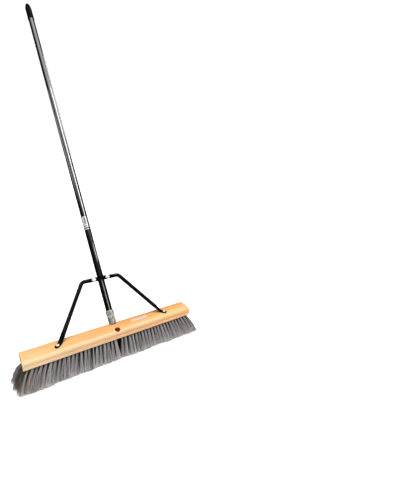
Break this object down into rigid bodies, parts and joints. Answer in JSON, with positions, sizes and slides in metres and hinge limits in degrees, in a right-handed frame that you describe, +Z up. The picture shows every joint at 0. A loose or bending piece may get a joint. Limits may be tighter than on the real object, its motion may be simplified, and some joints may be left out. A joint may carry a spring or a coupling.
{
  "type": "push broom",
  "caption": "Push broom with a lacquered wooden block, rows of grey bristles and a black steel handle held by a bolted steel brace.",
  "frame": {"origin": "centre of the sweeping face, where the bristle tips meet the floor", "axes": "+X along the block, +Y the way the handle leans, +Z up out of the block's top"},
  "size_m": [0.675, 0.9079, 1.3562],
  "materials": {
    "lacquered_wood": "clear lacquer over fine straight grain",
    "black_paint": "glossy black paint on steel tube",
    "plated_steel": "dull plated metal",
    "bright_zinc": "bright zinc plate",
    "black_plastic": "satin moulded plastic",
    "grey_bristle": "flagged synthetic filaments",
    "pale_sticker": "blank printed sticker"
  },
  "bodies": {
    "head": {"block": "lacquered_wood", "block_label": "pale_sticker", "brace": "black_paint", "clamp_strap": "black_paint", "clamp_bolt_left": "bright_zinc", "clamp_washer_left": "bright_zinc", "spring_washer_left": "bright_zinc", "clamp_nut_left": "bright_zinc", "foot_screw_left": "bright_zinc", "clamp_bolt_right": "bright_zinc", "clamp_washer_right": "bright_zinc", "spring_washer_right": "bright_zinc", "clamp_nut_right": "bright_zinc", "foot_screw_right": "bright_zinc", "bristles_front_left": "grey_bristle", "bristles_front_right": "grey_bristle", "bristles_inner_front": "grey_bristle", "bristles_centre": "grey_bristle", "bristles_inner_back": "grey_bristle", "bristles_back_left": "grey_bristle", "bristles_back_right": "grey_bristle"},
    "handle": {"handle_tube": "black_paint", "ferrule": "plated_steel", "end_cap": "black_plastic", "handle_label": "pale_sticker"}
  },
  "joints": [
    {"name": "handle_turn", "type": "hinge", "parent": "head", "child": "handle", "pos_m": [0, 0.0242, 0.11526], "axis": [0, 0.5592, 0.829], "range_deg": [0, 1500]}
  ]
}
